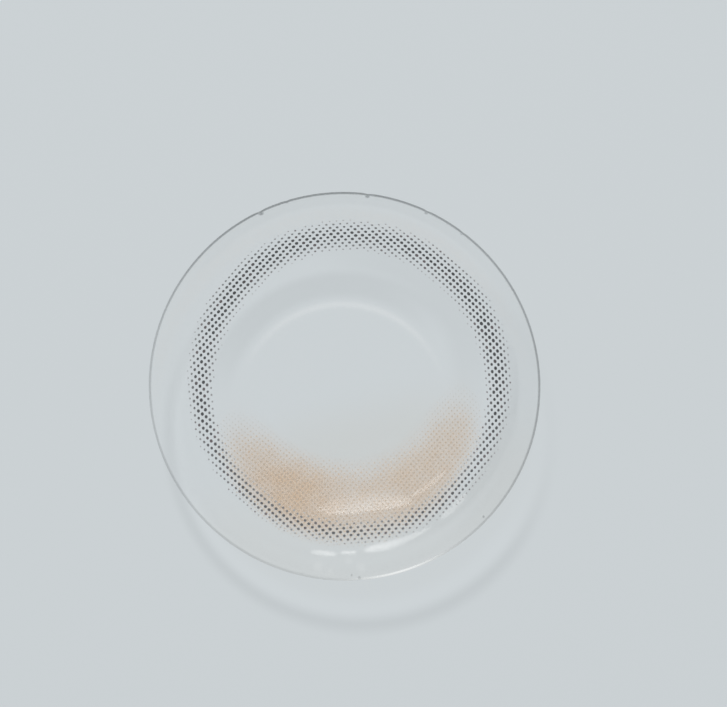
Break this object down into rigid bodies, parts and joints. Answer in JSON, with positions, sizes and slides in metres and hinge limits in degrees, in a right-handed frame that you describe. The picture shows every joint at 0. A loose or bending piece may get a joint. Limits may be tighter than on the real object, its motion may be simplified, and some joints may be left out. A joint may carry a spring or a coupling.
{
  "type": "colored contact lens",
  "caption": "Soft colour contact lens: a thin clear gel bowl with a rounded edge, a dark dotted ring and an amber dotted crescent, lying bowl up.",
  "frame": {"origin": "middle of the small flat on the outer surface that the lens rests on", "axes": "+Z is the lens's axis, out of the bowl; the amber crescent lies towards -Y"},
  "size_m": [0.0142, 0.0142, 0.0036],
  "materials": {
    "water_gel": "clear, smooth and wet",
    "ring_ink": "charcoal ink dots in the gel",
    "amber_ink": "amber ink dots in the gel"
  },
  "bodies": {
    "root": {"lens": "water_gel"}
  },
  "joints": []
}
